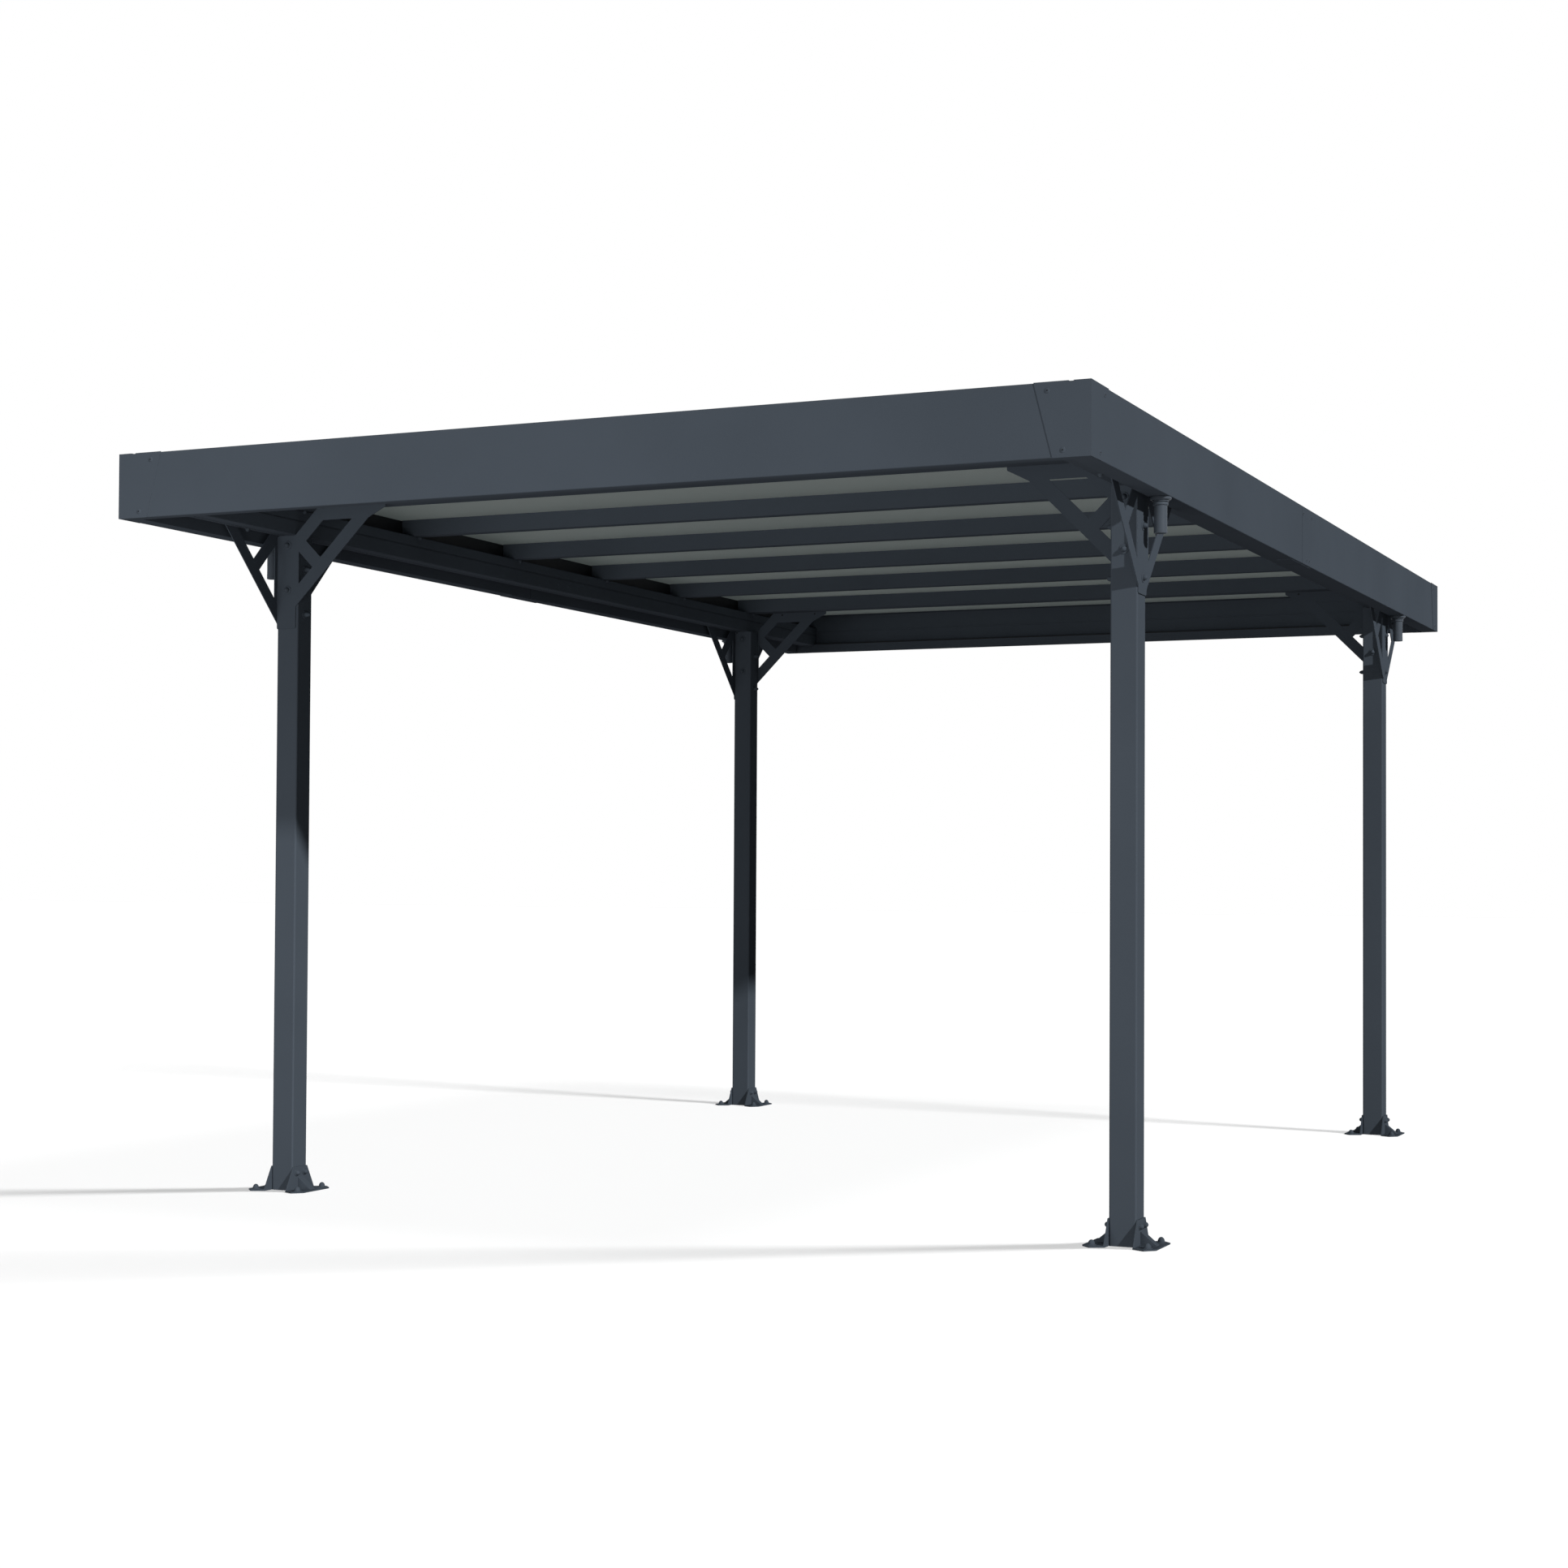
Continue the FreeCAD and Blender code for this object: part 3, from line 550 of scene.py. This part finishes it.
class CARPORT_OT_finishes(bpy.types.Operator):
    """Make the coat, plate, sheet and plastic finishes and put them on the parts"""

    bl_idname = "carport.finishes"
    bl_label = "Finishes"

    def execute(self, context):
        coat = context.scene.carport_coat
        roof = context.scene.carport_roof
        MATERIALS["coated_frame"] = powder_coat(
            "frame_coat", coat.colour, coat.roughness, coat.grain)
        MATERIALS["bracket_plate"] = powder_coat(
            "plate_coat", coat.plate_colour, coat.roughness, coat.grain)
        MATERIALS["roof_sheet"] = roof_sheet("smoky_sheet", roof.colour, roof.chamber)
        MATERIALS["spout_plastic"] = spout_plastic("spout_plastic", coat.colour)
        # Dark rubber for the seals; the same dark stands in as painted shade in screw sockets,
        # small holes and the gap above the hems
        MATERIALS["rubber_and_painted_shade"] = spout_plastic("rubber_and_painted_shade", roof.seal_and_painted_shade_colour)
        seamed = powder_coat("seamed_coat", coat.colour, coat.roughness, coat.grain,
                             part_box("gutter_fascia_left_rear")[0].y)
        slots = {part["node"]: part["material_slot"] for part in frame["record"]["subparts"]}
        for node, piece in frame["nodes"].items():
            piece.data.materials.clear()
            piece.data.materials.append(
                seamed if node.startswith("gutter_fascia") else MATERIALS[slots[node]])
        return {"FINISHED"}


class CARPORT_OT_brace_bolts(bpy.types.Operator):
    """Bolt the cross braces and side braces through their posts"""

    bl_idname = "carport.brace_bolts"
    bl_label = "Brace bolts"

    def execute(self, context):
        sizes = context.scene.carport_fittings
        bolts, nuts = [], []
        for side, end in CORNERS:
            middle = post_centre(side, end)
            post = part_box(f"post_{end}_{side}")
            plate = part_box(f"cross_brace_{end}_{side}")
            front = min(post[0].y, plate[0].y)
            rear = max(post[1].y, plate[1].y)
            for level in CROSS_BRACE_LEVELS:
                bolts.append(((middle.x, front, EAVE + level), (0, -1, 0)))
                bolts.append(((middle.x, rear, EAVE + level), (0, 1, 0)))
            outward = SIDES[side]
            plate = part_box(f"side_brace_{end}_{side}")
            outer, inner = face_of(plate, outward, X), face_of(post, -outward, X)
            for level in SIDE_BRACE_LEVELS:
                bolts.append(((outer, middle.y, EAVE + level), (outward, 0, 0)))
                nuts.append(((inner, middle.y, EAVE + level), (-outward, 0, 0)))
        for name, points, height in (("brace_bolts", bolts, BRACE_BOLT_HEIGHT),
                                     ("brace_nuts", nuts, BRACE_NUT_HEIGHT)):
            scatter(name, points, fitting(
                sizes.bolt_head, height, sizes.bolt_washer, BRACE_WASHER_THICKNESS),
                "bracket_plate")
        return {"FINISHED"}


class CARPORT_OT_foot_bolts(bpy.types.Operator):
    """Bolt the feet to the posts and anchor them to the ground"""

    bl_idname = "carport.foot_bolts"
    bl_label = "Foot bolts and anchors"

    def execute(self, context):
        sizes = context.scene.carport_fittings
        bolts, anchors = [], []
        for side, end in CORNERS:
            low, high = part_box(f"post_{end}_{side}")
            middle = post_centre(side, end)
            for sign, face in ((-1, low.x), (1, high.x)):
                out = face + sign * FOOT_PLATE
                for along in (-FOOT_BOLT_ALONG, FOOT_BOLT_ALONG):
                    bolts.append(((out, middle.y + along, FOOT_BOLT_LEVEL), (sign, 0, 0)))
                out = face + sign * ANCHOR_OUT
                for along in (-ANCHOR_ALONG, ANCHOR_ALONG):
                    anchors.append(((out, middle.y + along, FOOT_PLATE), UP))
        scatter("foot_bolts", bolts, fitting(*FOOT_BOLT), "bracket_plate")
        scatter("ground_anchors", anchors, fitting(
            sizes.anchor_head, ANCHOR_HEIGHT, ANCHOR_WASHER, ANCHOR_WASHER_THICKNESS),
            "bracket_plate")
        return {"FINISHED"}


class CARPORT_OT_sheet_screws(bpy.types.Operator):
    """Screw the corner covers and the gutter splices, and rivet the side beams"""

    bl_idname = "carport.sheet_screws"
    bl_label = "Sheet screws and rivets"

    def execute(self, context):
        head = context.scene.carport_fittings.screw_head
        screw = fitting(head, SCREW_HEIGHT, head * SCREW_RIM_SHARE, SCREW_RIM_THICKNESS)
        # Each screw's socket is a small dark disc, painted shade of the recess
        socket = fitting(head * SOCKET_SHADE_SHARE, SOCKET_SHADE_HEIGHT, head * SOCKET_SHADE_RIM_SHARE,
                         SOCKET_SHADE_RIM_THICKNESS)
        points = self.sheet_points()
        scatter("sheet_screws", points, screw, "coated_frame")
        scatter("screw_socket_shades", points, socket, "rubber_and_painted_shade")
        rivets, members = self.beam_points()
        scatter("beam_rivets", rivets, {**screw, "Head Diameter": RIVET_HEAD}, "coated_frame")
        scatter("purlin_screws", members, fitting(*BEAM_SCREW), "coated_frame")
        below, hole_shades = self.corner_points()
        scatter("beam_foot_screws", below, fitting(*BEAM_SCREW), "coated_frame")
        # Dark marks at the rear: painted shade of small holes
        scatter("hole_shade_marks", hole_shades, fitting(*HOLE_SHADE_MARK), "rubber_and_painted_shade")
        return {"FINISHED"}

    def sheet_points(self):
        """Screws on both faces of the corner covers and over the gutters' splice plates."""
        points = []
        for side, end in CORNERS:
            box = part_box(f"corner_cover_{end}_{side}")
            outward, onward = SIDES[side], ENDS[end]
            face_x, face_y = face_of(box, outward, X), face_of(box, onward, Y)
            for inset, level in COVER_SCREWS:
                points.append(((face_x - outward * inset, face_y, EAVE + level), (0, onward, 0)))
                points.append(((face_x, face_y - onward * inset, EAVE + level), (outward, 0, 0)))
        for side, outward in SIDES.items():
            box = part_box(f"gutter_fascia_{side}_rear")
            for along, level in SPLICE_SCREWS:
                points.append(((face_of(box, outward, X), box[0].y + along, EAVE + level),
                               (outward, 0, 0)))
        return points

    def beam_points(self):
        """Rivets on the inner faces of the side beams, and a screw beside every cross member."""
        rivets, members = [], []
        for side, outward in SIDES.items():
            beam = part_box(f"side_beam_{side}")
            face = face_of(beam, -outward, X)
            for along in RIVETS_ALONG:
                for level in RIVET_LEVELS:
                    rivets.append(((face, along, EAVE + level), (-outward, 0, 0)))
            for node in CROSS_MEMBERS:
                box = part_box(node)
                line = (box[0].y + box[1].y) / 2 + MEMBER_SCREW_ASIDE
                members.append(((face, line, beam[1].z - MEMBER_SCREW_DROP), (-outward, 0, 0)))
        return rivets, members

    def corner_points(self):
        """Screws from below near the corners, and the dark marks at the rear, painted shade of
        small holes.
        """
        below, hole_shades = [], []
        for side, end in CORNERS:
            outward, onward = SIDES[side], ENDS[end]
            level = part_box(f"side_beam_{side}")[0].z
            across, along = BEAM_FOOT_SCREW
            below.append(((outward * across, onward * along, level), DOWN))
            if side == "right":
                across, along = COVER_FOOT_SCREW
                below.append(((outward * across, onward * along, EAVE), DOWN))
            if end == "rear":
                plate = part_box(f"cross_brace_{end}_{side}")[0].y
                for across, level in PLATE_HOLE_SHADES:
                    hole_shades.append(((outward * across, plate, level), FORWARD))
                across, level = POST_HOLE_SHADE
                hole_shades.append(((outward * across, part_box(f"post_{end}_{side}")[0].y, level),
                              FORWARD))
        return below, hole_shades


class CARPORT_OT_trims(bpy.types.Operator):
    """Seal and join the sheets, add strips for the end fascias' hems with painted shadow above
    them, and finish the spouts
    """

    bl_idname = "carport.trims"
    bl_label = "Seals, hems and spout tips"

    def execute(self, context):
        self.seals_and_shade()
        self.joints()
        self.end_strips("fascia_hems", "coated_frame", HEM)
        # A dark strip just above each hem: painted shadow of the gap between the hem and the
        # fascia
        self.end_strips("hem_painted_shadow", "rubber_and_painted_shade", HEM_PAINTED_SHADOW)
        self.spout_tips()
        return {"FINISHED"}

    def seals_and_shade(self):
        """Rubber strips that close the gap between the side beams and the roof sheets; their
        near-black is also painted shade.
        """
        front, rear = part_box("fascia_front")[1].y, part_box("fascia_rear")[0].y
        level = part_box("side_beam_left")[1].z
        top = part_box("purlin_1")[1].z
        strips = Boxes()
        for sign in SIDES.values():
            strips.add((sign * SEAL_AND_SHADE_LINE - SEAL_AND_SHADE_HALF, front + SEAL_AND_SHADE_HALF, level + SEAL_AND_SHADE_HALF / 3),
                       (sign * SEAL_AND_SHADE_LINE + SEAL_AND_SHADE_HALF, rear - SEAL_AND_SHADE_HALF, top - SEAL_AND_SHADE_HALF / 3))
        strips.finish("edge_seals_and_shade", "rubber_and_painted_shade")

    def joints(self):
        """Flat cover strips over the joints between the roof sheets."""
        sheets = [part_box(node) for node in frame["nodes"] if node.startswith("roof_panel")]
        sheets.sort(key=lambda box: box[0].y)
        strips = Boxes()
        for (low, high), (after, _) in zip(sheets, sheets[1:]):
            line = (high.y + after.y) / 2
            strips.add((low.x + STRIP_END_GAP, line - STRIP_HALF, high.z - STRIP_SINK),
                       (high.x - STRIP_END_GAP, line + STRIP_HALF, high.z + STRIP_RISE))
        strips.finish("sheet_joint_strips", "coated_frame")

    def end_strips(self, name, material, sizes):
        """A strip along the inner face of both end fascias."""
        gap, half, foot, top = sizes
        strips = Boxes()
        for end in ENDS:
            low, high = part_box(f"fascia_{end}")
            inner = face_of((low, high), -ENDS[end], Y)
            strips.add((low.x + gap, inner - half, EAVE + foot),
                       (high.x - gap, inner + half, EAVE + top))
        strips.finish(name, material)

    def spout_tips(self):
        """A sleeve at the foot, a collar and a flange ring on every spout."""
        form = bmesh.new()
        for side, end in CORNERS:
            low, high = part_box(f"drain_spout_{end}_{side}")
            centre = Vector(((low.x + high.x) / 2, (low.y + high.y) / 2, low.z))
            for outline in (TIP_RING, COLLAR_RING, FLANGE_RING):
                self.turned(form, centre, outline)
        bmesh.ops.recalc_face_normals(form, faces=form.faces)
        keep(form, "spout_rings", "spout_plastic")

    def turned(self, form, centre, outline):
        """A closed ring turned round an upright axis from radius and level pairs."""
        angles = [math.tau * turn / RING_TURNS for turn in range(RING_TURNS)]
        rings = [[form.verts.new((centre.x + radius * math.cos(angle),
                                  centre.y + radius * math.sin(angle), centre.z + level))
                  for angle in angles] for radius, level in outline]
        for ring, after in zip(rings, rings[1:] + rings[:1]):
            for turn in range(RING_TURNS):
                follow = (turn + 1) % RING_TURNS
                form.faces.new((ring[turn], ring[follow], after[follow], after[turn]))


class CARPORT_OT_stage(bpy.types.Operator):
    """Set the pale floor, the studio light and the camera"""

    bl_idname = "carport.stage"
    bl_label = "Stage"

    def execute(self, context):
        scene = context.scene
        scene.view_settings.view_transform = "Standard"
        floor = self.floor()
        self.world(scene)
        self.lamps(floor)
        self.camera(scene)
        return {"FINISHED"}

    def floor(self):
        """White to the camera where no floor lamp is blocked, and a soft glow to the object."""
        shade = Shade(bpy.data.materials.new("pale_floor"))
        seen = shade.shown_white()
        lit = shade.node("ShaderNodeBsdfDiffuse", None, {"Color": FLOOR_GREY})
        bright = shade.node("ShaderNodeAddShader", None, {0: lit, 1: shade.glow(FLOOR_GLOW)})
        x, y, _ = shade.split(shade.place())
        across = x.maths("ABSOLUTE") - FOOTPRINT_X
        along = y.maths("ABSOLUTE") - FOOTPRINT_Y
        away = across.maths("MAXIMUM", along).maths("MAXIMUM", 0.0)
        rise = (away * BOUNCE_RISE).maths("MINIMUM", 1.0)
        fall = ((away - FALL_START) / FALL_LENGTH).maths("MAXIMUM", 0.0).maths("MINIMUM", 1.0)
        ahead = (-FOOTPRINT_Y - y).maths("MAXIMUM", 0.0)
        front = ahead.maths("MINIMUM", 1.0) * (1.0 - SIDE_SHARE) + SIDE_SHARE
        outside = rise * (1.0 - fall * FALL) * front
        bounce = shade.blend(
            outside, shade.glow(BOUNCE_INSIDE), shade.glow(BOUNCE, BOUNCE_COLOUR))
        mesh = bpy.data.meshes.new("floor")
        reach = FLOOR_REACH
        mesh.from_pydata([(-reach, -reach, 0), (reach, -reach, 0), (reach, reach, 0),
                          (-reach, reach, 0)], [], [(0, 1, 2, 3)])
        mesh.materials.append(shade.finish(shade.blend(seen, bounce, bright)))
        floor = placed("floor", mesh)
        return floor

    def world(self, scene):
        """White to the camera and a faint cool light to the object."""
        scene.world = bpy.data.worlds.new("studio")
        shade = Shade(scene.world)
        seen = shade.shown_white()
        soft = shade.glow(SKY, SKY_COLOUR, "ShaderNodeBackground")
        white = shade.glow(1.0, WHITE, "ShaderNodeBackground")
        shade.finish(shade.blend(seen, soft, white), "ShaderNodeOutputWorld")

    def group(self, name, objects, state="INCLUDE"):
        """A collection for a lamp's light linking, outside the scene."""
        made = bpy.data.collections.new(name)
        for item in objects:
            made.objects.link(item)
        for entry in made.collection_objects:
            entry.light_linking.link_state = state
        return made

    def sun(self, name, energy, angle, way):
        light = bpy.data.lights.new(name, "SUN")
        light.energy = energy
        light.angle = math.radians(angle)
        lamp = placed(name, light)
        lamp.rotation_euler = Vector(way).to_track_quat("-Z", "Y").to_euler()
        return lamp

    def lamps(self, floor):
        """Lamps that leave the floor out, and lamps that light only the floor."""
        nodes = frame["nodes"]
        sheets = [piece for name, piece in nodes.items() if name.startswith("roof_panel")]
        for name, values in OBJECT_SUNS.items():
            passed = [floor, *sheets] if name == "back_soft" else [floor]
            lamp = self.sun(name, *values)
            lamp.light_linking.receiver_collection = self.group(
                f"{name}_passes", passed, "EXCLUDE")
        fill = bpy.data.lights.new("front_fill", "AREA")
        fill.shape = "RECTANGLE"
        fill.size, fill.size_y = FILL_SIZE
        fill.energy = FILL_ENERGY
        lamp = placed("front_fill", fill)
        lamp.location = FILL_PLACE
        lamp.visible_camera = False
        aim = Vector(FILL_AIM) - lamp.location
        lamp.rotation_euler = aim.to_track_quat("-Z", "Y").to_euler()
        lamp.light_linking.receiver_collection = self.group("fill_passes", [floor], "EXCLUDE")
        # Lamps that only the floor sees give the soft shadows of the feet and the roof
        ground = self.group("on_floor", [floor])
        blockers = {end: [nodes[f"{part}_{end}_{side}"] for part in ("post", "foot")
                          for side in SIDES] for end in ENDS}
        blockers["roof"] = [piece for name, piece in nodes.items()
                            if name.startswith(("roof_panel", "side_beam", "fascia", "gutter"))]
        for name, values in FLOOR_SUNS.items():
            lamp = self.sun(f"{name}_floor_lamp", *values)
            lamp.light_linking.receiver_collection = ground
            lamp.light_linking.blocker_collection = self.group(
                f"{name}_blockers", blockers[name])

    def camera(self, scene):
        """The photo's own view, with the photo's centre shifted as the fit found it."""
        lens = bpy.data.cameras.new("camera")
        lens.sensor_width = SENSOR_WIDTH
        lens.sensor_fit = "HORIZONTAL"
        lens.lens = FOCAL / PHOTO_WIDTH * lens.sensor_width
        lens.shift_x = (PHOTO_WIDTH / 2 - CENTRE_X) / PHOTO_WIDTH
        lens.shift_y = (CENTRE_Y - PHOTO_WIDTH / 2) / PHOTO_WIDTH
        lens.clip_end = CLIP_END
        camera = placed("camera", lens)
        turn = (Matrix.Rotation(YAW, 4, "Z") @ Matrix.Rotation(math.pi / 2 + PITCH, 4, "X")
                @ Matrix.Rotation(ROLL, 4, "Z"))
        camera.matrix_world = Matrix.Translation(CAMERA_PLACE) @ turn
        scene.camera = camera


class CARPORT_PT_panel(bpy.types.Panel):
    """Buttons and sizes of the carport"""

    bl_idname = "CARPORT_PT_panel"
    bl_label = "Carport"
    bl_space_type = "VIEW_3D"
    bl_region_type = "UI"
    bl_category = "Carport"

    def draw(self, context):
        layout = self.layout
        for group in GROUPS:
            for name in getattr(context.scene, group).__annotations__:
                layout.prop(getattr(context.scene, group), name)
        for operator in OPERATORS:
            layout.operator(operator.bl_idname)


GROUPS = {"carport_coat": CoatSettings, "carport_roof": RoofSettings,
          "carport_fittings": FittingSettings}
OPERATORS = [CARPORT_OT_finishes, CARPORT_OT_brace_bolts, CARPORT_OT_foot_bolts,
             CARPORT_OT_sheet_screws, CARPORT_OT_trims, CARPORT_OT_stage]


def register():
    for kind in [*GROUPS.values(), *OPERATORS, CARPORT_PT_panel]:
        bpy.utils.register_class(kind)
    for name, kind in GROUPS.items():
        setattr(bpy.types.Scene, name, PointerProperty(type=kind))


def unregister():
    for name in GROUPS:
        delattr(bpy.types.Scene, name)
    for kind in reversed([*GROUPS.values(), *OPERATORS, CARPORT_PT_panel]):
        bpy.utils.unregister_class(kind)


def main():
    register()
    TREES["dome"] = dome_tree()
    for operator in OPERATORS:
        family, name = operator.bl_idname.split(".")
        getattr(getattr(bpy.ops, family), name)()


if __name__ == "__main__":
    main()
